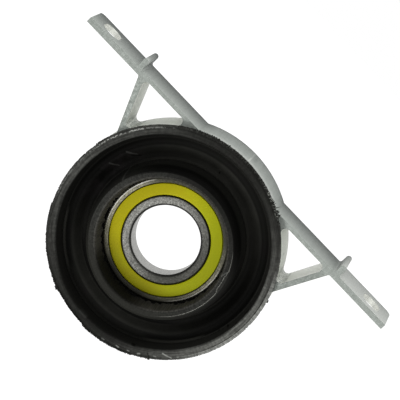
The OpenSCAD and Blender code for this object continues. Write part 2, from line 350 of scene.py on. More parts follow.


# %% [markdown]
# The rubber mount
#
# One moulding joins the bracket's ring to the bearing: a lip over the ring's front, a cup wall
# inside it, a thin folded membrane and a thick collar round the bearing. On the real part the
# membrane gives when the shaft moves. The moulding is made in three turned pieces, so that the lip
# stays with the bracket, the collar goes with the bearing, and the membrane lies between.

# %% Lip and cup wall
lip_cup = turned(
    "rubber_lip_cup",
    [
        (50.25, -9.62, 0),
        (50.25, -13.3, 0.3),
        (49.35, -13.45, 0.15),
        (49.15, -14.05, 0.35),
        (48.2, -14.3, 0.8),
        (46.75, -14.15, 0.45),
        (46.2, -11.5, 0.7),
        (44.77, -7.5, 0.8),
        (44.77, 10.8, 0.7),
        (47.07, 10.8, 0),
        (47.07, -9.62, 0),
    ],
    steps=256,
)

# %% [markdown]
# The membrane
#
# The thin web between the cup wall and the collar has a step and a fold that let the shaft move.
# It could be a surface with a Solidify modifier, but front and rear differ in depth. So it is a
# closed section, and both its ends reach into the neighbours and hide the joints.

# %% Folded membrane
membrane = turned(
    "rubber_membrane",
    [
        (45.5, -6.9, 0),
        (44.3, -6.4, 0.6),
        (42.7, -5.1, 1.1),
        (40.45, -5.7, 1.2),
        (36.6, -2.2, 1.8),
        (33.4, -4.2, 0),
        (33.4, 4.5, 0),
        (36.5, 0.8, 1.2),
        (41.0, -2.8, 1.2),
        (42.7, -2.3, 0.8),
        (43.9, -3.5, 0.6),
        (45.5, -3.9, 0),
    ],
    steps=256,
)

# %% [markdown]
# The collar
#
# The collar stands ahead of the bearing like a short tube and grips it between a front bead and a
# rear lip. A cylinder with a Solidify modifier would give even walls. The section gives it a
# tapered outside, a flared mouth and the groove in front of the bearing.

# %% Collar round the bearing
collar = turned(
    "rubber_collar",
    [
        (31.4, -17.8, 0.25),
        (28.25, -17.8, 0.9),
        (27.8, -9.2, 0),
        (27.45, -7.6, 0),
        (28.2, -7.3, 0),
        (28.2, -6.2, 0),
        (27.53, -6.0, 0),
        (27.53, 6.53, 0),
        (25.93, 6.53, 0.2),
        (25.93, 8.5, 0.5),
        (33.6, 8.5, 0.8),
        (34.9, 6.5, 0.6),
        (34.9, -0.6, 0.8),
        (34.1, -8.0, 1.5),
        (32.8, -15.8, 0.8),
    ],
)

# %% [markdown]
# Moulding flash
#
# Where the mould's halves met, a thin ragged skin of rubber was left round the lip, on the collar's
# rim and against the bearing. It could be a rough texture only, but then the outline would stay a
# clean circle. So each is a thin turned bead with many steps, and a random share of the vertices
# on its edge is pulled outwards or inwards, more in some stretches than in others.


# %% Helpers that tear an edge
def within(place, reach, arcs):
    """Whether a place lies between two radii and in one of the arcs of degrees."""
    turn = degrees_round(place)
    return reach[0] < place.xz.length < reach[1] and any(low <= turn <= high for low, high in arcs)


def pull(piece, reach, arcs, scale, ahead_of=99):
    """Scales the vertices between the radii and in the arcs away from the shaft."""
    select_where(piece, lambda p: p.y < ahead_of and within(p, reach, arcs))
    bpy.ops.transform.resize(value=(scale, 1, scale), center_override=(0, 0, 0))


def tear(piece, reach, arcs, share, seed, scale, lift=0.0, behind=-99):
    """Scales a random share of the edge's vertices, within arcs of degrees, away from the shaft."""
    select_where(piece, lambda p: p.y > behind and within(p, reach, arcs))
    bpy.ops.mesh.hide(unselected=True)
    bpy.ops.mesh.select_all(action="DESELECT")
    bpy.ops.mesh.select_random(ratio=share, seed=seed)
    bpy.ops.transform.resize(value=(scale, 1, scale), center_override=(0, 0, 0))
    bpy.ops.transform.translate(value=(0, lift * MM, 0))
    bpy.ops.mesh.reveal(select=False)


def keep_arcs(piece, arcs):
    """Deletes the parts of a bead outside the arcs and closes the ends."""
    select_where(piece, lambda p: not any(low <= degrees_round(p) <= high for low, high in arcs))
    bpy.ops.mesh.delete(type="VERT")
    bpy.ops.mesh.select_all(action="SELECT")
    bpy.ops.mesh.fill_holes(sides=0)
    bpy.ops.mesh.normals_make_consistent(inside=False)


# %% [markdown]
# Uneven lip
#
# The lip's outline isn't a true circle: it swells and dips by some tenths of a millimetre. A
# Displace modifier would move every face of it. Scaling the outer vertices in three arcs leaves
# the rest.

# %% Uneven outline of the lip
ALL_ROUND = [(0, 360)]
TOP_ARCS = [(0, 34), (322, 360)]
LOW_DENT, LOW_SWELL, LEFT_DENT = [(179, 198)], [(150, 178)], [(243, 280)]
lip_pulls = [(LOW_DENT, 0.995), (LOW_SWELL, 1.005), (LEFT_DENT, 0.994)]
edit_only(lip_cup)
for arcs, scale in lip_pulls:
    pull(lip_cup, (50.1, 51), arcs, scale, ahead_of=-12.5)
bpy.ops.object.mode_set(mode="OBJECT")
print("lip outline moved in", len(lip_pulls), "arcs")

# %% [markdown]
# Flash round the lip
#
# The skin is thickest at the top, next to the bar, where it is torn into teeth, and thin
# elsewhere. A particle system could scatter teeth, but it would float them off the edge. Here each
# line of the table tears one stretch: radii, arcs, share of vertices, seed, scale and lift.

# %% Torn bead round the lip
lip_flash = turned(
    "rubber_lip_flash",
    [(49.8, -13.1, 0), (50.1, -13.6, 0), (50.55, -13.65, 0), (50.75, -13.35, 0), (50.2, -12.7, 0)],
    steps=1200,
)
edit_only(lip_flash)
for arcs, scale in ((TOP_ARCS, 1.005), (LOW_DENT, 0.994), (LOW_SWELL, 1.005), (LEFT_DENT, 0.993)):
    pull(lip_flash, (49, 51), arcs, scale)
lip_tears = [
    ((49.8, 53), ALL_ROUND, 0.2, 1, 0.998, 0),
    ((49.8, 53), ALL_ROUND, 0.05, 2, 0.993, 0),
    ((50.4, 53), TOP_ARCS, 0.3, 3, 0.984, 0),
    ((50.4, 53), TOP_ARCS, 0.15, 8, 1.005, -0.1),
    ((50.4, 53), [(20, 31), (334, 352)], 0.2, 4, 1.008, -0.1),
    ((50.2, 53), [(140, 182), (196, 228)], 0.25, 5, 1.004, -0.1),
    ((50.2, 53), [(71.5, 73), (141, 142), (199.5, 201.5)], 0.8, 6, 1.01, -0.2),
    ((50.2, 55), [(21.5, 30.5)], 0.3, 7, 1.016, -0.2),
    ((50.2, 55), [(22, 30)], 0.12, 9, 1.02, -0.2),
    ((50.2, 55), [(21.5, 33)], 0.2, 10, 0.982, 0),
]
for reach, arcs, share, seed, scale, lift in lip_tears:
    tear(lip_flash, reach, arcs, share, seed, scale, lift)
bpy.ops.object.mode_set(mode="OBJECT")
print("lip flash torn", len(lip_tears), "times")

# %% [markdown]
# Hairline on the collar's rim
#
# On the right of the rim a hair-thin bead catches the light and jumps inwards for a short stretch.
# It could be painted on, but a bead stands proud and takes light of its own; its finish also paints
# a highlight on it. Only one arc of it is kept.

# %% Hairline bead
mouth_line = turned(
    "rubber_mouth_line",
    [(30.75, -17.7, 0), (30.85, -18.0, 0), (30.97, -18.0, 0), (31.05, -17.6, 0)],
    steps=400,
)
edit_only(mouth_line)
tear(mouth_line, (30, 32), ALL_ROUND, 0.12, 6, 1.002)
tear(mouth_line, (30, 32), ALL_ROUND, 0.12, 7, 0.998)
pull(mouth_line, (30, 32), [(65, 84)], 0.99)
pull(mouth_line, (30, 32), [(69, 82.5)], 0.986)
keep_arcs(mouth_line, [(48, 140)])
bpy.ops.object.mode_set(mode="OBJECT")
print("hairline faces kept:", len(mouth_line.data.polygons))

# %% [markdown]
# Teeth against the bearing
#
# Where the collar's front bead meets the outer ring, the mould left small teeth. A gear-like
# boolean would be too regular. Every second vertex of a thin bead is drawn in, and then some are
# pushed back at random. The edges of the groove in the collar are torn the same way.

# %% Toothed bead and torn groove
tooth = 360 / RING_STEPS
seat_flash = turned(
    "rubber_seat_flash",
    [(28.1, -7.1, 0), (27.7, -7.0, 0), (27.4, -6.8, 0), (27.4, -6.6, 0), (28.1, -6.6, 0)],
)
edit_only(seat_flash)
select_where(
    seat_flash,
    lambda p: p.xz.length < 27.5 and round(degrees_round(p) / tooth) % 2 == 1,
)
bpy.ops.transform.resize(value=(0.986, 1, 0.986), center_override=(0, 0, 0))
tear(seat_flash, (26.2, 27.5), ALL_ROUND, 0.35, 8, 1.013, -0.1)
bpy.ops.object.mode_set(mode="OBJECT")

edit_only(collar)
tear(collar, (27.35, 27.5), ALL_ROUND, 0.4, 11, 1.02, behind=-8)
tear(collar, (27.35, 27.5), ALL_ROUND, 0.4, 12, 0.99, behind=-8)
bpy.ops.object.mode_set(mode="OBJECT")
print("teeth round the bearing:", RING_STEPS // 2)

# %% [markdown]
# The bearing's rings
#
# The rings are ground steel with small chamfers and a groove for the balls. The CAD rings could be
# painted as they are, but their edges are coarser than the photograph shows. So they are turned
# again from finer sections, with the grooves where the CAD balls run.


# %% Rings
def groove(bottom, curve, edge, points=9):
    """Points of a ball groove, from its rear edge to its front edge."""
    side = 1 if bottom > edge else -1
    centre = bottom - side * curve
    reach = math.asin(math.sqrt(curve**2 - (edge - centre) ** 2) / curve)
    angles = [reach - 2 * reach * k / (points - 1) for k in range(points)]
    return [(centre + side * curve * math.cos(a), curve * math.sin(a), 0) for a in angles]


groove_curve = 3.715
outer_ring = turned(
    "bearing_outer_steel",
    [
        (24.93, -6.5, 0.12),
        (26.75, -6.5, 0.25),
        (27.5, -5.75, 0.25),
        (27.5, 5.75, 0.25),
        (26.75, 6.5, 0.25),
        (24.93, 6.5, 0.12),
        (24.9, 4.7, 0),
        (23.4, 4.7, 0.1),
        *groove(24.842, groove_curve, 23.402),
        (23.4, -4.7, 0.1),
        (24.9, -4.7, 0),
    ],
)
inner_ring = turned(
    "bearing_inner_steel",
    [
        (15.95, -6.5, 0.25),
        (18.8, -6.5, 0.2),
        (19.098, -6.15, 0.15),
        *reversed(groove(17.658, groove_curve, 19.098)),
        (19.098, 6.15, 0.15),
        (18.8, 6.5, 0.2),
        (15.95, 6.5, 0.25),
        (15.0, 5.5, 0.25),
        (15.0, -5.5, 0.25),
    ],
)

# %% [markdown]
# The seals
#
# Each seal is a moulded rubber disc, snapped into the outer ring, with a flat web and a lip that
# nearly touches the inner ring. A flat disc would look printed on. The section adds the small
# recess at the ring, which the photograph shows as a dark line. The rear seal is the same section
# mirrored.

# %% Seals
seal_outline = [
    (19.14, -5.3, 0.05),
    (19.5, -5.4, 0.1),
    (19.6, -6.05, 0.12),
    (20.3, -6.2, 0.15),
    (24.45, -6.2, 0.12),
    (24.6, -5.6, 0.05),
    (24.87, -5.6, 0.05),
    (24.87, -4.75, 0),
    (22.4, -4.75, 0),
    (19.14, -5.0, 0.1),
]
seal_front = turned("seal_front_moulding", seal_outline)
seal_rear = turned("seal_rear_moulding", [(r, -y, c) for r, y, c in seal_outline])

# %% [markdown]
# The bracket
#
# The bracket is one sawn length of an extruded profile. Its outline could be drawn again and
# extruded, but the CAD node already has the right shape. So a copy of it is taken, doubled
# vertices are merged, and the triangles of each flat face are joined.

# %% Copy of the bracket
bpy.ops.object.select_all(action="DESELECT")
frame["nodes"]["bracket"].select_set(True)
bpy.context.view_layer.objects.active = frame["nodes"]["bracket"]
bpy.ops.object.duplicate()
bracket = bpy.context.object
bpy.ops.object.parent_clear(type="CLEAR_KEEP_TRANSFORM")
bracket.name = bracket.data.name = "bracket_profile"
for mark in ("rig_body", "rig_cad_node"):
    del bracket[mark]
bpy.ops.object.mode_set(mode="EDIT")
bpy.ops.mesh.select_all(action="SELECT")
bpy.ops.mesh.customdata_custom_splitnormals_clear()
bpy.ops.mesh.remove_doubles(threshold=2e-6)
bpy.ops.mesh.dissolve_limited(angle_limit=math.radians(0.3))
bpy.ops.object.mode_set(mode="OBJECT")
print("bracket faces joined to", len(bracket.data.polygons))

# %% [markdown]
# Roots of the struts
#
# In the photograph the struts meet the ring a little further out than on the CAD node. Turning
# whole struts would also move the bar. So only the vertices at each root slide along the ring, and
# the ring stays round.

# %% Struts moved along the ring
root_turn = math.radians(62)
root_reach, root_arcs = (50.0, 54.0), [(57, 72), (288, 303)]
bpy.ops.object.mode_set(mode="EDIT")
for side, slip in ((1, 0.8), (-1, 1.6)):
    select_where(bracket, lambda p: p.x * side > 0 and within(p, root_reach, root_arcs))
    along_ring = (side * slip * math.cos(root_turn) * MM, 0, -slip * math.sin(root_turn) * MM)
    bpy.ops.transform.translate(value=along_ring)
    print("strut root moved by", slip, "mm")
bpy.ops.object.mode_set(mode="OBJECT")

# %% [markdown]
# Broken edges
#
# A saw leaves sharp edges, which are knocked off before the part is handled. The edges could be
# picked one by one, but a Bevel modifier limited by angle finds them all, and weighted normals
# keep the flat faces flat next to the small roundings.

# %% Bevelled edges
edges = bracket.modifiers.new("broken_edges", "BEVEL")
edges.width = 0.4 * MM
edges.segments = 3
edges.loop_slide = False
edges.limit_method = "ANGLE"
edges.angle_limit = math.radians(35)
bpy.ops.object.modifier_apply(modifier=edges.name)
bpy.ops.object.shade_smooth_by_angle(angle=math.radians(32))
flats = bracket.modifiers.new("flat_faces", "WEIGHTED_NORMAL")
flats.keep_sharp = True
bpy.ops.object.modifier_apply(modifier=flats.name)
print("bracket faces:", len(bracket.data.polygons))

# %% [markdown]
# Finishes
#
# Every finish is built from noise on the piece's own coordinates, so nothing depends on the view.
# Image textures would need an unwrapped surface. Four effects that several finishes share are node
# groups: grain gives clouds and specks, radius_band gives a soft ring, towards tells on which side
# of the shaft a place lies, and ring_streaks gives noise that is drawn out round the shaft.


# %% Group for grain
def new_group(name, inputs, outputs):
    """A shader node group with a vector, more inputs by kind, and float outputs."""
    group = bpy.data.node_groups.new(name, "ShaderNodeTree")
    for key, kind in {"Vector": "Vector", **inputs}.items():
        group.interface.new_socket(key, in_out="INPUT", socket_type="NodeSocket" + kind)
    for key in outputs:
        group.interface.new_socket(key, in_out="OUTPUT", socket_type="NodeSocketFloat")
    given = add_node(group, "NodeGroupInput").outputs
    return group, given, add_node(group, "NodeGroupOutput").inputs


def noise(tree, vector, scale, detail, roughness):
    """A noise texture's value."""
    inputs = {"Vector": vector, "Scale": scale, "Detail": detail, "Roughness": roughness}
    return add_node(tree, "ShaderNodeTexNoise", inputs).outputs["Fac"]


def spread_out(tree, value, contrast):
    """A noise value spread round its middle and held to 0..1."""
    centred = math_node(tree, "SUBTRACT", value, 0.5)
    spread = math_node(tree, "MULTIPLY_ADD", centred, contrast, 0.5)
    return math_node(tree, "ADD", spread, 0, clamp=True)


group, given, result = new_group(
    "grain", {"Size": "Float", "Contrast": "Float"}, ["Value", "Specks"]
)
per_size = math_node(group, "DIVIDE", 1, given["Size"])
cloud = noise(group, given["Vector"], per_size, 5, 0.65)
group.links.new(spread_out(group, cloud, given["Contrast"]), result["Value"])
fine = noise(group, given["Vector"], math_node(group, "MULTIPLY", per_size, 2.3), 2, 0.5)
group.links.new(between(group, fine, 0.62, 0.72, smooth=False), result["Specks"])
grain_group = group
print("group", group.name, "nodes:", len(group.nodes))


# %% Groups for a soft ring and for a side of the shaft
def across_shaft(tree, vector):
    """The part of a vector that points away from the shaft."""
    return vector_math(tree, "MULTIPLY", vector, (1, 0, 1))[0]


group, given, result = new_group(
    "radius_band", {"From": "Float", "To": "Float", "Soft": "Float"}, ["Mask"]
)
radius = vector_math(group, "LENGTH", across_shaft(group, given["Vector"]))["Value"]
rise_start = math_node(group, "SUBTRACT", given["From"], given["Soft"])
fall_end = math_node(group, "ADD", given["To"], given["Soft"])
rise = between(group, radius, rise_start, given["From"])
fall = between(group, radius, given["To"], fall_end, 1.0, 0.0)
group.links.new(times(group, rise, fall), result["Mask"])
band_group = group
print("group", group.name, "nodes:", len(group.nodes))

group, given, result = new_group("towards", {"Direction": "Vector"}, ["Value"])
unit = vector_math(group, "NORMALIZE", across_shaft(group, given["Vector"]))[0]
dot = vector_math(group, "DOT_PRODUCT", unit, given["Direction"])["Value"]
group.links.new(dot, result["Value"])
towards_group = group
print("group", group.name, "nodes:", len(group.nodes))

# %% Group for streaks round the shaft
group, given, result = new_group(
    "ring_streaks",
    {"Size": "Float", "Contrast": "Float", "Around": "Float", "Outwards": "Float"},
    ["Value"],
)
flat = across_shaft(group, given["Vector"])
unit = vector_math(group, "NORMALIZE", flat)[0]
radius = vector_math(group, "LENGTH", flat)["Value"]
round_way = vector_math(group, "SCALE", unit, Scale=given["Around"])[0]
outward_way = add_node(
    group, "ShaderNodeCombineXYZ", {"Y": math_node(group, "MULTIPLY", radius, given["Outwards"])}
)
both_ways = vector_math(group, "ADD", round_way, outward_way.outputs[0])[0]
cloud = noise(group, both_ways, math_node(group, "DIVIDE", 1, given["Size"]), 3, 0.6)
group.links.new(spread_out(group, cloud, given["Contrast"]), result["Value"])
streak_group = group
print("group", group.name, "nodes:", len(group.nodes))

# %% [markdown]
# Helpers for finishes
#
# A finish starts as one plain colour, and each step mixes another over it by a mask. Masks could
# be painted by hand on the mesh. Here they are products of soft limits: a ring, an arc, a depth,
# and noise. The helpers below place the groups and write those limits in millimetres.


# %% Helpers that start a finish and place the groups
def new_finish(name):
    """A material; gives it, its tree, its Principled shader and the texture coordinates."""
    finish = bpy.data.materials.new(name)
    finish.use_nodes = True
    tree = finish.node_tree
    tree.nodes.clear()
    shader = add_node(tree, "ShaderNodeBsdfPrincipled")
    add_node(tree, "ShaderNodeOutputMaterial", {"Surface": shader.outputs[0]})
    coordinates = add_node(tree, "ShaderNodeTexCoord")
    return finish, tree, shader, coordinates


def progress(finish, step):
    """Prints how far a finish has come."""
    print(f"{finish.name}: {len(finish.node_tree.nodes)} nodes after {step}")


def placed(tree, group, vector, **values):
    """Places a node group on a vector, with its other inputs, and gives its outputs."""
    return add_node(tree, "ShaderNodeGroup", {"Vector": vector, **values}, node_tree=group).outputs


def grain(tree, vector, size, contrast):
    """Clouds and specks, with their size in mm."""
    return placed(tree, grain_group, vector, Size=size * MM, Contrast=contrast)


def band(tree, vector, inner, outer, soft):
    """A soft ring between two radii in mm."""
    limits = {"From": inner * MM, "To": outer * MM, "Soft": soft * MM}
    return placed(tree, band_group, vector, **limits)["Mask"]


def towards(tree, vector, degrees):
    """1 where the place lies in this direction from the shaft, -1 on the other side."""
    turn = math.radians(degrees)
    direction = (math.sin(turn), 0, math.cos(turn))
    return placed(tree, towards_group, vector, Direction=direction)[0]


def streaks(tree, vector, size, contrast, around=2.5, outwards=1.0):
    """Streaks round the shaft, with their size in mm; around and outwards draw them out."""
    drawn_out = {"Around": around * MM, "Outwards": outwards}
    return placed(tree, streak_group, vector, Size=size * MM, Contrast=contrast, **drawn_out)[0]


# %% Helpers for soft limits, strokes and bumps
def arc(tree, vector, degrees, low, high, start=0.0, end=1.0, smooth=True):
    """Start to end as a place nears a direction from the shaft, between two cosines."""
    return between(tree, towards(tree, vector, degrees), low, high, start, end, smooth)


def span(tree, length, low, high, start=0.0, end=1.0, smooth=True):
    """Start to end along a length, between two limits in mm."""
    return between(tree, length, low * MM, high * MM, start, end, smooth)


def stretched(tree, vector, scale):
    """The coordinates scaled by a vector, to draw a pattern out in one direction."""
    return add_node(
        tree, "ShaderNodeMapping", {"Vector": vector, "Scale": scale}, vector_type="POINT"
    ).outputs[0]


def strokes_of(tree, vector, strokes):
    """Soft strokes seen along the shaft: angle and radius of both ends, half width in mm, share."""
    flat = across_shaft(tree, vector)
    shown = 0.0
    for turn_0, radius_0, turn_1, radius_1, width, share in strokes:
        ends = []
        for turn, radius in ((turn_0, radius_0), (turn_1, radius_1)):
            turn = math.radians(turn)
            ends.append(Vector((math.sin(turn), 0, math.cos(turn))) * radius * MM)
        along = ends[1] - ends[0]
        from_start = vector_math(tree, "SUBTRACT", flat, ends[0])[0]
        part = vector_math(tree, "DOT_PRODUCT", from_start, along / along.length_squared)["Value"]
        part = math_node(tree, "ADD", part, 0, clamp=True)
        reach = vector_math(tree, "SCALE", along, Scale=part)[0]
        away = vector_math(tree, "DISTANCE", from_start, reach)["Value"]
        shown = largest(tree, shown, span(tree, away, 1.6 * width, 0.3 * width, 0, share))
    return shown


def bump(tree, shader, height, distance, strength=1.0):
    """Feeds a height to the shader's normal; the distance is in mm."""
    made = add_node(
        tree,
        "ShaderNodeBump",
        {"Height": height, "Distance": distance * MM, "Strength": strength},
    )
    tree.links.new(made.outputs[0], shader.inputs["Normal"])


def roughness(tree, shader, value, start, end):
    """Links a noise value to the shader's roughness, from start to end."""
    tree.links.new(between(tree, value, 0, 1, start, end, False), shader.inputs["Roughness"])


def paint(piece, finish):
    """Gives the piece one material only."""
    piece.data.materials.clear()
    piece.data.materials.append(finish)


# %% [markdown]
# Sawn aluminium
#
# The bracket's front is a sawn face, dull and mottled, while its sides keep the paler skin of the
# extrusion, painted paler still as light from above. Each face could be given one of two materials,
# but the edges are rounded. So one material mixes both colours by the way the surface faces. The
# sawn face comes first.

# %% Sawn face
DULL = (0.10, 0.11, 0.10, 1)
PALE = (0.50, 0.52, 0.49, 1)
aluminium, tree, shader, coordinates = new_finish("aluminium_skin")
place = coordinates.outputs["Object"]
facing = add_node(tree, "ShaderNodeSeparateXYZ", {0: coordinates.outputs["Normal"]})
x, y, z = add_node(tree, "ShaderNodeSeparateXYZ", {0: place}).outputs
front_face = between(tree, absolute(tree, facing.outputs["Y"]), 0.5, 0.8)
mottle = grain(tree, place, 1.3, 2.4)
pits = grain(tree, place, 0.7, 2.0)
drawn = grain(tree, stretched(tree, place, (1, 0.06, 1)), 1.6, 1.6)
face_colour = mix_colour(tree, mottle["Value"], (0.155, 0.173, 0.155, 1), (0.275, 0.298, 0.275, 1))
face_colour = mix_colour(tree, times(tree, pits["Specks"], 0.7), face_colour, (0.58, 0.60, 0.57, 1))
progress(aluminium, "the sawn face")

# %% [markdown]
# Strut and bar
#
# The right strut's front is darker, and the bar's front is smoother than the ring's. A second
# material would show a hard border. Two masks along X and Z mix the change in softly.

# %% Darker strut and plain bar
right_strut = times(
    tree,
    span(tree, x, 30, 40),
    span(tree, z, 41.5, 39, 0, 0.3),
)
face_colour = mix_colour(tree, right_strut, face_colour, DULL)
on_bar = span(tree, z, 40.5, 41.8, 0, 0.65)
face_colour = mix_colour(tree, on_bar, face_colour, (0.235, 0.255, 0.235, 1))
progress(aluminium, "strut and bar")

# %% [markdown]
# Skin of the extrusion
#
# The die leaves faint lines along the shaft, so the noise of the sides is stretched that way.
# Bright and sooty specks break it up. The pale side colours carry painted light from above, and the
# right triangle gets more painted light.

# %% Pale sides
# Pale skin of the extrusion, with painted light from above in its colour.
side_colour = mix_colour(tree, drawn["Value"], (0.64, 0.66, 0.61, 1), (0.80, 0.82, 0.77, 1))
side_colour = mix_colour(tree, times(tree, pits["Specks"], 0.5), side_colour, (0.92, 0.93, 0.90, 1))
sooty = grain(tree, place, 1.1, 2.0)["Specks"]
side_colour = mix_colour(tree, times(tree, sooty, 0.3), side_colour, (0.14, 0.145, 0.13, 1))
# Painted light on the right triangle's faces.
lit_right = span(tree, x, 42, 50, 0, 0.7)
side_colour = mix_colour(tree, lit_right, side_colour, (0.92, 0.93, 0.89, 1))
progress(aluminium, "the sides")

# %% [markdown]
# Corners
#
# In the rounded corners where strut and ring meet, the walls take the sawn face's darker, speckled
# colour: painted shade of the corner with a speckled texture. Vertex colours could mark them, but
# the mesh is coarse there. A distance from the
# corner gives the mask, the same for both sides, and another marks one dark spot.

# %% Speckled corners and a blemish
strut_corner = Vector((45.2, 0, 24.8)) * MM
dark_spot = Vector((39.08, 0.47, 31.67)) * MM
mirrored = add_node(tree, "ShaderNodeCombineXYZ", {"X": absolute(tree, x), "Z": z}).outputs[0]
from_corner = vector_math(tree, "DISTANCE", mirrored, strut_corner)["Value"]
# Painted shade in the corners, speckled like the sawn face.
in_corner = times(
    tree,
    span(tree, from_corner, 3.2, 2.4),
    span(tree, x, -20, 20, 0.85, 0.7),
)
speckle = between(tree, grain(tree, place, 0.9, 3.4)["Value"], 0.38, 0.66)
side_colour = mix_colour(tree, times(tree, in_corner, speckle), side_colour, face_colour)
from_spot = vector_math(tree, "DISTANCE", place, dark_spot)["Value"]
blemish = span(tree, from_spot, 1.0, 0.3, 0, 0.8)
side_colour = mix_colour(tree, blemish, side_colour, (0.06, 0.06, 0.055, 1))
progress(aluminium, "corners")

# %% [markdown]
# Painted shade along the bar
#
# The top of the bar is painted darker towards the rear as shade, while the right foot and the front
# of the arch's crown are painted pale as light.
# A gradient texture could do it, but it would need its own coordinates. Limits along the axes
# follow the part itself.

# %% Painted shade along the top of the bar
on_top = span(tree, z, 43.7, 44.2)
top_colour = mix_colour(tree, drawn["Value"], (0.29, 0.315, 0.29, 1), (0.38, 0.41, 0.38, 1))
# Painted shade: the top grows darker towards the rear.
rearwards = span(tree, y, -9, 13, smooth=False)
off_right_foot = span(tree, x, 56, 62, 1.0, 0.4)
# Painted light: the right foot's top is pale.
on_right_foot = span(tree, x, 57, 62)
on_arch = span(tree, absolute(tree, x), 24, 18, 1.0, 0.6)
top_colour = mix_colour(tree, on_right_foot, top_colour, PALE)
dark_top = times(tree, rearwards, off_right_foot, on_arch)
top_colour = mix_colour(tree, dark_top, top_colour, (0.055, 0.065, 0.058, 1))
# Painted light on the front of the arch's crown.
arch_front = span(tree, y, -3, -9, 0, 0.5)
on_crown = span(tree, z, 45.5, 47)
top_colour = mix_colour(tree, times(tree, arch_front, on_crown), top_colour, PALE)
progress(aluminium, "the painted shade")

# %% [markdown]
# Seam
#
# A thin pale seam crosses the arch over the ring, with a soft shade beside it. It is too fine to
# be worth a groove in the mesh, so it is a narrow mask along X.

# %% Seam on the arch
seam = span(tree, absolute(tree, x), 0.5, 0.2)
seam = times(tree, seam, span(tree, y, 4, -4, 0.1, 0.5))
beside_seam = times(
    tree,
    span(tree, absolute(tree, math_node(tree, "SUBTRACT", x, 1.6 * MM)), 1.8, 0.6),
    span(tree, y, -3, 3),
)
top_colour = mix_colour(tree, times(tree, beside_seam, 0.35), top_colour, DULL)
top_colour = mix_colour(tree, seam, top_colour, (0.62, 0.64, 0.60, 1))
side_colour = mix_colour(tree, on_top, side_colour, top_colour)
progress(aluminium, "the seam")

# %% [markdown]
# Foot slots
#
# The slots' walls are painted pale as light, most of all at the ends.
# The walls could be picked by hand as faces. A box round each slot, limited to upright walls,
# finds both.

# %% Bright slots
slot_x, slot_y = 79.7 * MM, 2.35 * MM
off_slot = math_node(tree, "SUBTRACT", absolute(tree, x), slot_x)
off_middle = math_node(tree, "SUBTRACT", y, slot_y)
in_slot = times(
    tree,
    span(tree, absolute(tree, off_slot), 7.4, 7.1),
    span(tree, absolute(tree, off_middle), 7.4, 7.1),
    between(tree, absolute(tree, facing.outputs["Z"]), 0.6, 0.3),
)
# Painted light on the slots' walls, brightest at the ends.
slot_end = span(tree, absolute(tree, off_slot), 2.0, 4.2)
slot_colour = mix_colour(tree, slot_end, (0.52, 0.53, 0.49, 1), (0.74, 0.75, 0.70, 1))
side_colour = mix_colour(tree, in_slot, side_colour, slot_colour)
face_share = math_node(tree, "SUBTRACT", front_face, in_slot, clamp=True)
colour = mix_colour(tree, face_share, side_colour, face_colour)
progress(aluminium, "the slots")

# %% [markdown]
# Rear edge
#
# The rear edge of the top lies in shade. A lamp can't be kept off one edge, so that shade is
# painted into the colour there, on the edge and on a dull rim along the rear. Then roughness and a
# fine bump follow the same mottle, since a rough spot is also a dull one.

# %% Dark rear edge, roughness and bump
# Painted shade on the rear edge of the top.
rear_edge = times(
    tree,
    span(tree, y, 11.6, 13.6),
    span(tree, x, -30, 10, 0.85, 0.6),
    on_top,
    off_right_foot,
)
colour = mix_colour(tree, rear_edge, colour, (0.05, 0.058, 0.05, 1))
# Painted shade on the rim along the rear.
rear_rim = span(tree, y, 13.3, 14.0, 0, 0.45)
colour = mix_colour(tree, rear_rim, colour, DULL)
tree.links.new(colour, shader.inputs["Base Color"])
shader.inputs["Metallic"].default_value = 0.5
roughness(tree, shader, mottle["Value"], 0.66, 0.5)
bump(tree, shader, math_node(tree, "ADD", mottle["Value"], pits["Value"]), 0.12, 0.6)
progress(aluminium, "roughness and bump")

# %% [markdown]
# Black rubber
#
# New rubber is nearly black, with a dull skin, and a painted sheen shows grey on it. Plain black
# would lose every fold, so the colour is built up from very dark tones that differ by place. The
# first step gives the skin its fine grain and a slow change between a green and a red black.

# %% Rubber skin
DEEP = (0.0012, 0.0012, 0.001, 1)
LIT = (0.026, 0.026, 0.0225, 1)
rubber, tree, shader, coordinates = new_finish("rubber_black")
place = coordinates.outputs["Object"]
y = add_node(tree, "ShaderNodeSeparateXYZ", {0: place}).outputs["Y"]
skin = grain(tree, place, 1.2, 2.2)
smear = grain(tree, place, 8.0, 2.4)
lines = streaks(tree, place, 0.7, 2.6)
tint = mix_colour(tree, smear["Value"], (0.0072, 0.0082, 0.0064, 1), (0.0082, 0.0072, 0.0072, 1))
colour = mix_colour(tree, times(tree, skin["Value"], 0.5), tint, (0.0115, 0.0115, 0.0098, 1))
progress(rubber, "the skin")

# %% [markdown]
# Folds
#
# The fold catches light at its top and bottom and is black at both sides. Lamps alone give too soft
# a change, because the real folds are narrow. So light on the slope and on the cup wall, and shade
# at the sides, are painted into the colour.

# %% Shade in the folds
sideways = math_node(tree, "POWER", towards(tree, place, 90), 2)
outside_collar = band(tree, place, 35.2, 60, 0.6)
slope = times(
    tree,
    band(tree, place, 34.7, 40.8, 0.8),
    between(tree, sideways, 0.1, 0.9, 1.0, 0.55),
    between(tree, smear["Value"], 0.1, 0.9, 0.6, 1.0),
)
lit_slope = times(tree, slope, arc(tree, place, 0, 0.2, 0.9, 0.7, 0.95))
colour = mix_colour(tree, lit_slope, colour, LIT)
# Painted shade at the sides of the fold.
dark_sides = times(tree, sideways, outside_collar, 0.92)
colour = mix_colour(tree, dark_sides, colour, (0.0010, 0.0010, 0.0008, 1))
# Painted light on the cup wall.
cup_wall = times(
    tree,
    band(tree, place, 44.5, 46.4, 0.2),
    span(tree, y, -13.0, -12.0),
    arc(tree, place, 60, -0.4, 0.6, 0.25, 0.55),
)
colour = mix_colour(tree, cup_wall, colour, (0.024, 0.024, 0.021, 1))
progress(rubber, "the folds")
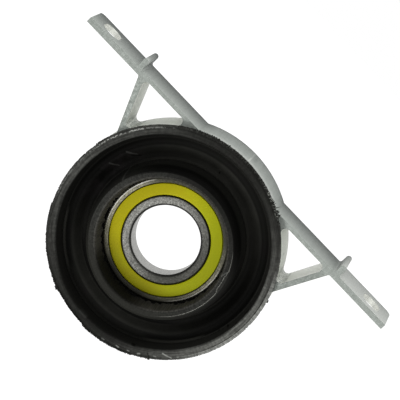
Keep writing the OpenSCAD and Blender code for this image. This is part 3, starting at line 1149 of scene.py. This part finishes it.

# %% [markdown]
# Round the collar
#
# The collar's right flank gets painted light, the trough below the collar and two dips near the cup
# wall get painted shade, and a ledge by the dips gets a painted highlight. Each is a ring times an
# arc, which fits pieces that were turned.

# %% Flank of the collar and the low dips
right_half = arc(tree, place, 95, 0.3, 0.95)
# Painted light on the collar's right flank.
flank = times(tree, band(tree, place, 31.5, 33.3, 0.6), right_half, 0.45)
colour = mix_colour(tree, flank, colour, (0.024, 0.024, 0.022, 1))
# Painted shade below the collar.
under_collar = times(
    tree,
    band(tree, place, 34.6, 37.0, 0.4),
    arc(tree, place, 178, 0.5, 0.8, 0, 0.85),
)
colour = mix_colour(tree, under_collar, colour, DEEP)
low_arcs = largest(
    tree,
    arc(tree, place, 130, 0.94, 0.98),
    arc(tree, place, 224, 0.94, 0.98),
)
# Painted shade in the low dips, and a painted highlight on the ledge.
low_dip = times(tree, low_arcs, band(tree, place, 42.1, 43.2, 0.4), 0.8)
colour = mix_colour(tree, low_dip, colour, DEEP)
low_ledge = times(tree, low_arcs, band(tree, place, 43.9, 44.4, 0.25), 0.5)
colour = mix_colour(tree, low_ledge, colour, (0.03, 0.03, 0.026, 1))
progress(rubber, "the collar's surroundings")

# %% [markdown]
# Mouth
#
# The inside of the collar is painted grey as light on it, broken by fine marks, and painted black
# with shade at the low side and in the groove. The rim's low side gets painted light as well.

# %% Mouth of the collar
fine_lines = streaks(tree, place, 0.6, 3.4, around=30, outwards=0.6)
fine_marks = between(tree, fine_lines, 0.1, 0.9, 0.55, 1.45)
# Painted light on the collar's inner wall, broken by fine marks.
mouth = times(
    tree,
    band(tree, place, 27.0, 28.9, 0.4),
    span(tree, y, -7.4, -7.8, 0, 0.6),
    arc(tree, place, 258, 0.5, 0.9, 1.0, 1.7),
    fine_marks,
)
colour = mix_colour(tree, mouth, colour, (0.046, 0.044, 0.038, 1))
# Painted light on the low side of the rim and flank.
low_collar = times(
    tree,
    band(tree, place, 29.6, 34.9, 0.5),
    arc(tree, place, 180, 0.2, 1.0, 0, 0.6),
)
colour = mix_colour(tree, low_collar, colour, (0.024, 0.024, 0.020, 1))
# Painted shade at the low side of the mouth and in the groove.
low_mouth = times(
    tree,
    band(tree, place, 27.0, 28.9, 0.4),
    arc(tree, place, 185, 0.74, 0.97, 0, 0.92),
)
colour = mix_colour(tree, low_mouth, colour, (0.0025, 0.0025, 0.0015, 1))
in_groove = times(
    tree,
    band(tree, place, 26.0, 29.0, 0.1),
    span(tree, y, -7.7, -7.6),
)
colour = mix_colour(tree, in_groove, colour, DEEP)
progress(rubber, "the mouth")

# %% [markdown]
# Marks
#
# A few grey scratches and dark specks lie on the membrane. Noise would spread them evenly. They
# are drawn as single strokes, each from one angle and radius to another, so they stay where they
# are when the membrane stretches.

# %% Marks on the membrane
smudges = times(
    tree,
    arc(tree, place, 275, 0.85, 0.98),
    band(tree, place, 35.5, 41.0, 2.0),
    between(tree, grain(tree, place, 7.0, 2.0)["Value"], 0.3, 0.8),
    0.1,
)
colour = mix_colour(tree, smudges, colour, (0.034, 0.028, 0.031, 1))
strokes = [
    (277.6, 40.6, 279.0, 39.2, 0.35, 0.5),
    (279.0, 39.2, 281.0, 37.6, 0.3, 0.4),
    (290.2, 41.2, 292.4, 39.9, 0.4, 0.5),
    (292.4, 39.9, 295.4, 38.5, 0.35, 0.45),
    (283.4, 31.8, 285.2, 32.9, 0.4, 0.6),
    (285.2, 32.9, 287.8, 34.5, 0.35, 0.5),
    (349.8, 37.5, 351.6, 38.4, 0.25, 0.4),
]
colour = mix_colour(tree, strokes_of(tree, place, strokes), colour, (0.04, 0.04, 0.037, 1))
dark_strokes = [
    (292.0, 39.0, 297.0, 37.6, 0.4, 0.7),
    (352.2, 37.1, 352.6, 36.8, 0.3, 0.9),
    (74.6, 43.6, 76.2, 43.5, 0.35, 0.7),
    (97.0, 45.2, 97.4, 44.9, 0.35, 0.8),
    (102.8, 44.6, 103.4, 44.5, 0.35, 0.6),
]
colour = mix_colour(tree, strokes_of(tree, place, dark_strokes), colour, (0.001, 0.001, 0.0008, 1))
progress(rubber, "the marks")

# %% [markdown]
# Painted sheen
#
# The front of the lip and the collar's rim get a painted grey sheen, most at the right and left,
# where fine scratches round the shaft catch the light. So it is broken up by streaks round the
# shaft and by the grain of the skin.

# %% Painted sheen on lip and rim
right_side = math_node(tree, "POWER", arc(tree, place, 100, 0, 1, smooth=False), 4)
# Painted sheen, strongest at the sides, broken by scratch streaks and grain.
streaked_sheen = math_node(tree, "MULTIPLY_ADD", sideways, 0.285, 0.045)
rim_sheen = times(tree, streaked_sheen, fine_marks, arc(tree, place, 90, 0, 1, 0.45, 0.3))
streaked_sheen = math_node(tree, "MULTIPLY_ADD", right_side, 0.3, streaked_sheen)
scratches = streaks(tree, place, 0.9, 3.0, around=48, outwards=0.12)
streaked_sheen = times(
    tree,
    streaked_sheen,
    between(tree, lines, 0.1, 0.9, 0.6, 1.35),
    between(tree, scratches, 0.1, 0.9, 0.86, 1.16),
    between(tree, skin["Value"], 0, 1, 0.75, 1.25),
)
lip_face = times(
    tree,
    band(tree, place, 46.4, 60, 0.4),
    span(tree, y, -12.0, -13.2),
)
rim_face = times(
    tree,
    band(tree, place, 28.8, 31.3, 0.3),
    span(tree, y, -15, -17.3),
)
lip_and_rim_sheen = largest(tree, times(tree, lip_face, streaked_sheen), times(tree, rim_face, rim_sheen))
colour = mix_colour(tree, lip_and_rim_sheen, colour, (0.16, 0.162, 0.148, 1))
progress(rubber, "the sheen")

# %% [markdown]
# Behind the rim
#
# Above the collar its flank is black next to the rim and lighter further down. The change is
# sharper than soft lamps can make it, so two masks by radius and depth set it.

# %% Shade behind the rim
shaded_top = times(
    tree,
    band(tree, place, 31.0, 34.5, 0.25),
    span(tree, y, -10.5, -13.0),
    arc(tree, place, 0, 0.2, 0.75, 0, 0.92),
)
colour = mix_colour(tree, shaded_top, colour, DEEP)
lit_flank = times(
    tree,
    band(tree, place, 33.4, 35.4, 0.3),
    span(tree, y, -11.0, -6.0),
    arc(tree, place, 0, 0.2, 0.75, 0, 0.6),
)
colour = mix_colour(tree, lit_flank, colour, LIT)
progress(rubber, "the shade")

# %% [markdown]
# Pale edges
#
# The lip's outer step shows a broken dark line at the right, and painted highlights as pale edges
# at the right and the left. The edge could be found by its curvature, but that would mark the whole
# edge. Rings, arcs and patchy noise put the highlights only in broken stretches.

# %% Pale edges of the lip
dark_line = times(
    tree,
    band(tree, place, 48.95, 49.2, 0.12),
    lip_face,
    arc(tree, place, 91, 0.88, 0.95, 0, 0.85),
    between(tree, streaks(tree, place, 1.2, 3.0, around=60, outwards=0.2), 0.3, 0.6, 0.2, 1.0),
)
colour = mix_colour(tree, dark_line, colour, (0.009, 0.009, 0.006, 1))
# Painted highlights on the lip's outer edge at the right and the left.
right_edge = times(
    tree,
    band(tree, place, 49.35, 50.6, 0.15),
    arc(tree, place, 92, 0.78, 0.95, 0, 0.5),
    between(tree, scratches, 0.2, 0.8, 0.5, 1.0),
)
left_line = band(tree, place, 49.2, 49.65, 0.12)
left_edge = times(tree, left_line, arc(tree, place, 292, 0.955, 0.98))
left_faint = times(tree, left_line, arc(tree, place, 270, 0.9, 0.96, 0, 0.3))
left_specks = times(tree, left_line, arc(tree, place, 312, 0.984, 0.994, 0, 0.35))
left_edge = largest(tree, left_edge, left_specks)
patchy = between(tree, grain(tree, place, 1.0, 3.0)["Value"], 0.42, 0.62)
lip_glint = times(tree, largest(tree, left_edge, left_faint), patchy)
lip_glint = times(tree, largest(tree, lip_glint, right_edge), lip_face)
colour = mix_colour(tree, lip_glint, colour, (0.46, 0.47, 0.44, 1))
progress(rubber, "pale edges")

# %% [markdown]
# Scuffs and nicks
#
# Single scuffs and nicks make the lip look used. They are strokes again: the pale ones first, then
# the dark nicks over them. Two pale strokes are painted highlights: a spot on the lip's inner edge
# low down, and a second strand of the hairline on the collar's rim.

# %% Scuffs and nicks
scuffs_and_highlights = [
    (130.2, 49.9, 134.4, 47.7, 0.3, 0.5),
    (126.8, 49.6, 127.2, 49.6, 0.4, 0.35),
    (138.0, 49.4, 139.0, 49.2, 0.3, 0.4),
    (146.2, 49.2, 147.2, 49.5, 0.35, 0.55),
    (151.8, 49.5, 152.6, 49.4, 0.3, 0.4),
    (157.4, 49.7, 158.6, 49.3, 0.3, 0.45),
    (165.4, 49.8, 166.6, 49.8, 0.3, 0.2),
    # Painted highlight on a nick in the lip's inner edge.
    (180.0, 46.9, 184.0, 46.9, 0.6, 0.035),
    # Painted highlight: a second strand of the hairline.
    (66.0, 30.3, 70.5, 28.9, 0.25, 0.12),
]
colour = mix_colour(tree, strokes_of(tree, place, scuffs_and_highlights), colour, (0.40, 0.41, 0.38, 1))
nicks = [
    (141.3, 50.3, 142.2, 48.2, 0.3, 0.7),
    (181.0, 49.8, 183.2, 49.7, 0.25, 0.7),
    (184.0, 49.5, 186.2, 48.4, 0.2, 0.5),
    (188.7, 49.6, 189.2, 48.8, 0.2, 0.5),
    (192.3, 49.5, 192.9, 48.4, 0.2, 0.6),
    (82.0, 46.2, 84.9, 46.0, 0.25, 0.7),
    (91.2, 46.1, 92.0, 46.1, 0.25, 0.7),
    (149.8, 46.5, 151.4, 46.4, 0.3, 0.8),
    (24.0, 46.5, 24.6, 46.4, 0.25, 0.7),
]
colour = mix_colour(tree, strokes_of(tree, place, nicks), colour, (0.003, 0.003, 0.0025, 1))
progress(rubber, "scuffs and nicks")

# %% [markdown]
# Chips and hairline
#
# Bright chips sit in the torn flash at the top, and a highlight is painted on the hairline bead at
# the right of the rim. Last, the shader gets a low reflection, which keeps the rubber dull from
# every side, and a bump from the grain.

# %% Chips and hairline, roughness and bump
chips = times(
    tree,
    band(tree, place, 49.9, 51.0, 0.2),
    arc(tree, place, 357, 0.79, 0.86),
    between(tree, streaks(tree, place, 0.55, 3.0, around=50, outwards=0.4), 0.62, 0.78, 0, 0.6),
    arc(tree, place, 27, 0.96, 0.99, 0.2, 1.0),
)
colour = mix_colour(tree, chips, colour, (0.30, 0.31, 0.28, 1))
# Painted highlight on the hairline bead.
hairline = times(
    tree,
    band(tree, place, 29.8, 32.2, 0.1),
    span(tree, y, -17.85, -17.95),
    arc(tree, place, 93, 0.64, 0.94, 0.0, 1.0),
)
colour = mix_colour(tree, hairline, colour, (0.26, 0.26, 0.235, 1))
tree.links.new(colour, shader.inputs["Base Color"])
roughness(tree, shader, skin["Value"], 0.5, 0.66)
shader.inputs["Specular IOR Level"].default_value = 0.022
bump(tree, shader, math_node(tree, "ADD", skin["Value"], times(tree, lines, lip_face)), 0.1, 0.6)
progress(rubber, "roughness and bump")

# %% [markdown]
# Yellow seals
#
# The seals are moulded from yellow rubber. One flat yellow would look like plastic, so two yellows
# change slowly over the disc, and a fine grain dulls them.

# %% Yellow seal rubber
yellow, tree, shader, coordinates = new_finish("seal_yellow")
place = coordinates.outputs["Object"]
cloudy = grain(tree, place, 6.0, 2.2)
skin = grain(tree, place, 0.7, 1.8)
colour = mix_colour(tree, cloudy["Value"], (0.50, 0.43, 0.006, 1), (0.52, 0.52, 0.007, 1))
colour = mix_colour(tree, times(tree, skin["Value"], 0.25), colour, (0.38, 0.36, 0.005, 1))
progress(yellow, "the grain")

# %% [markdown]
# Tints
#
# The seal leans to green at the right and to amber at the left, and painted shade darkens its right
# and low sides. Coloured lamps would tint the steel as well, so the tints are mixed into the
# rubber.

# %% Tints round the seal
green_side = arc(tree, place, 70, -0.2, 0.9, 0, 0.7)
colour = mix_colour(tree, green_side, colour, (0.43, 0.50, 0.005, 1))
amber_side = arc(tree, place, 270, 0.1, 0.9, 0, 0.8)
colour = mix_colour(tree, amber_side, colour, (0.395, 0.35, 0.003, 1))
# Painted shade on the right and low sides.
shaded_right = arc(tree, place, 105, -0.9, 0.9, 0.02, 0.47)
colour = mix_colour(tree, shaded_right, colour, (0.14, 0.14, 0.002, 1))
low_side = arc(tree, place, 185, 0.6, 1.0, 0, 0.45)
colour = mix_colour(tree, low_side, colour, (0.14, 0.13, 0.001, 1))
progress(yellow, "the tints")

# %% [markdown]
# Shade at the edges
#
# Shade falls in the recess at the outer ring and in the gap at the sealing lip. The recess alone
# would stay yellow inside, so a ring of painted shade is mixed in at each edge.

# %% Painted shade at both edges
both_sides = absolute(tree, towards(tree, place, 103))
groove_arc = between(tree, both_sides, 0.75, 0.95, 0.6, 1.0)
# Painted shade at the seal's edges.
edge_shade = largest(
    tree,
    band(tree, place, 18.0, 19.55, 0.12),
    times(tree, band(tree, place, 24.58, 26.0, 0.1), groove_arc),
)
colour = mix_colour(tree, times(tree, edge_shade, 0.95), colour, (0.014, 0.012, 0.004, 1))
tree.links.new(colour, shader.inputs["Base Color"])
roughness(tree, shader, skin["Value"], 0.42, 0.55)
shader.inputs["Specular IOR Level"].default_value = 0.06
bump(tree, shader, skin["Value"], 0.03, 0.5)
progress(yellow, "grime, roughness and bump")

# %% [markdown]
# Ring steel
#
# The rings are ground, with fine lines round the shaft, and are bright on the left and darker
# towards the lower right. A mirror finish would show only the white room. So the metal is half
# rough, and its colour carries the bright and dark sides and the lines.

# %% Ground steel
ring_steel, tree, shader, coordinates = new_finish("ring_steel_ground")
place = coordinates.outputs["Object"]
y = add_node(tree, "ShaderNodeSeparateXYZ", {0: place}).outputs["Y"]
ring_marks = grain(tree, place, 0.8, 2.8)
lines = streaks(tree, place, 0.5, 2.4)
bright = arc(tree, place, 274, -0.9, 0.9, 0.08, 0.4, False)
bright = times(
    tree,
    bright,
    between(tree, ring_marks["Value"], 0, 1, 0.6, 1.4),
    between(tree, lines, 0, 1, 0.75, 1.25),
)
darker_low_right = arc(tree, place, 138, 0.8, 1.0, 1.0, 0.5)
bright = times(tree, bright, darker_low_right)
progress(ring_steel, "bright side and lines")

# %% [markdown]
# Face of the outer ring
#
# The outer ring's face is darker, and lighter again at its left and right.
# Both rings share one material, so a ring mask picks out this face.

# %% Outer ring's face
outer_face = band(tree, place, 24.5, 30, 0.3)
lighter_left = arc(tree, place, 256, 0.5, 0.97, 0.1, 1.05)
lighter_right = arc(tree, place, 104, 0.5, 0.97, 0.1, 2.8)
lighter_sides = largest(tree, lighter_left, lighter_right)
kept = math_node(tree, "SUBTRACT", 1, outer_face)
bright = times(tree, bright, math_node(tree, "MULTIPLY_ADD", outer_face, lighter_sides, kept))
steel_tone = mix_colour(tree, outer_face, (0.27, 0.27, 0.25, 1), (0.29, 0.275, 0.19, 1))
colour = mix_colour(tree, bright, (0.012, 0.012, 0.009, 1), steel_tone)
colour = mix_colour(tree, times(tree, ring_marks["Specks"], bright), colour, (0.5, 0.5, 0.48, 1))
progress(ring_steel, "the outer face")

# %% [markdown]
# Glints
#
# A glint is painted on the chamfer of the outer ring where it faces a lamp, and the rim's shadow is
# painted as a dark line at the joint with the seal above. Both are finer than a pixel in places, so
# they are masks and not geometry.

# %% Painted glints and the rim's shadow at the seal
glint = largest(
    tree,
    arc(tree, place, 272, 0.8, 0.95, 0, 0.65),
    arc(tree, place, 104, 0.8, 0.95, 0, 0.35),
)
broken = between(tree, lines, 0.2, 0.7, 0.5, 1.0)
glint = times(tree, glint, band(tree, place, 26.25, 26.6, 0.12), broken)
colour = mix_colour(tree, glint, colour, (0.6, 0.59, 0.55, 1))
# Painted shadow of the rim at the seal's edge above.
rim_shadow_line = times(
    tree,
    band(tree, place, 24.8, 25.1, 0.1),
    arc(tree, place, 0, 0.3, 0.7, 0, 0.8),
)
colour = mix_colour(tree, rim_shadow_line, colour, (0.02, 0.018, 0.006, 1))
progress(ring_steel, "glints")

# %% [markdown]
# Bore
#
# The bore's colour is lighter than the faces', and its chamfer is painted dark as shade. Radius and
# depth are enough to tell them apart.

# %% Bore and chamfer
bore_wall = band(tree, place, 10, 15.1, 0.1)
colour = mix_colour(tree, bore_wall, colour, (0.42, 0.42, 0.40, 1))
# Painted shade in the bore's chamfer.
chamfer = times(
    tree,
    band(tree, place, 15.2, 15.75, 0.1),
    span(tree, absolute(tree, y), 5.5, 5.7),
)
colour = mix_colour(tree, times(tree, chamfer, 0.9), colour, (0.02, 0.02, 0.018, 1))
tree.links.new(colour, shader.inputs["Base Color"])
shader.inputs["Metallic"].default_value = 0.8
roughness(tree, shader, ring_marks["Value"], 0.55, 0.4)
bump(tree, shader, ring_marks["Value"], 0.03, 0.5)
progress(ring_steel, "the bore, roughness and bump")

# %% [markdown]
# Cage and balls
#
# Cage and balls hide behind the seals, so the CAD solids serve as they are and only get finishes.
# The cage is rolled sheet, grey and slightly streaky, and the balls are polished with a little
# haze.

# %% Pressed cage
cage_sheet, tree, shader, coordinates = new_finish("cage_pressed_steel")
place = coordinates.outputs["Object"]
rolled = grain(tree, place, 0.9, 2.0)
colour = mix_colour(tree, rolled["Value"], (0.13, 0.13, 0.125, 1), (0.26, 0.26, 0.25, 1))
tree.links.new(colour, shader.inputs["Base Color"])
shader.inputs["Metallic"].default_value = 1.0
roughness(tree, shader, rolled["Value"], 0.45, 0.3)
bump(tree, shader, rolled["Value"], 0.02, 0.5)
progress(cage_sheet, "roughness and bump")

# %% Polished balls
ball_polish, tree, shader, coordinates = new_finish("ball_polished")
place = coordinates.outputs["Object"]
haze = grain(tree, place, 1.6, 1.6)
colour = mix_colour(tree, haze["Value"], (0.50, 0.50, 0.49, 1), (0.60, 0.60, 0.59, 1))
tree.links.new(colour, shader.inputs["Base Color"])
shader.inputs["Metallic"].default_value = 1.0
roughness(tree, shader, haze["Value"], 0.06, 0.14)
bump(tree, shader, haze["Specks"], 0.004, 0.4)
progress(ball_polish, "roughness and bump")

# %% [markdown]
# Joining the pieces to the model
#
# Each new piece stands for a CAD node and rides on the body that carries it. The membrane rides on
# no body: it is painted and its placement is baked into its mesh.

# %% Ride, replace and paint
riding = [
    (bracket, "bracket", "bracket", "bracket_aluminium", aluminium),
    (lip_cup, "bracket", "rubber_mount", "mount_rubber", rubber),
    (collar, "bearing_carrier", "rubber_mount", "mount_rubber", rubber),
    (outer_ring, "bearing_carrier", "bearing_outer_ring", "ring_steel", ring_steel),
    (inner_ring, "inner_ring", "bearing_inner_ring", "ring_steel", ring_steel),
    (seal_front, "bearing_carrier", "seal_front", "seal_rubber", yellow),
    (seal_rear, "bearing_carrier", "seal_rear", "seal_rubber", yellow),
    (lip_flash, "bracket", "rubber_mount", "mount_rubber", rubber),
    (mouth_line, "bearing_carrier", "rubber_mount", "mount_rubber", rubber),
    (seat_flash, "bearing_carrier", "rubber_mount", "mount_rubber", rubber),
]
for piece, body, node, slot, finish in riding:
    paint(piece, finish)
    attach(piece, body)
    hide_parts(node)
print("riding pieces:", len(riding))

# %% Membrane and CAD solids
paint(membrane, rubber)
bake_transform(membrane)
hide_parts("rubber_mount")

for name, node in frame["nodes"].items():
    if name.startswith("cage_"):
        paint(node, cage_sheet)
    elif name.startswith("ball_"):
        paint(node, ball_polish)
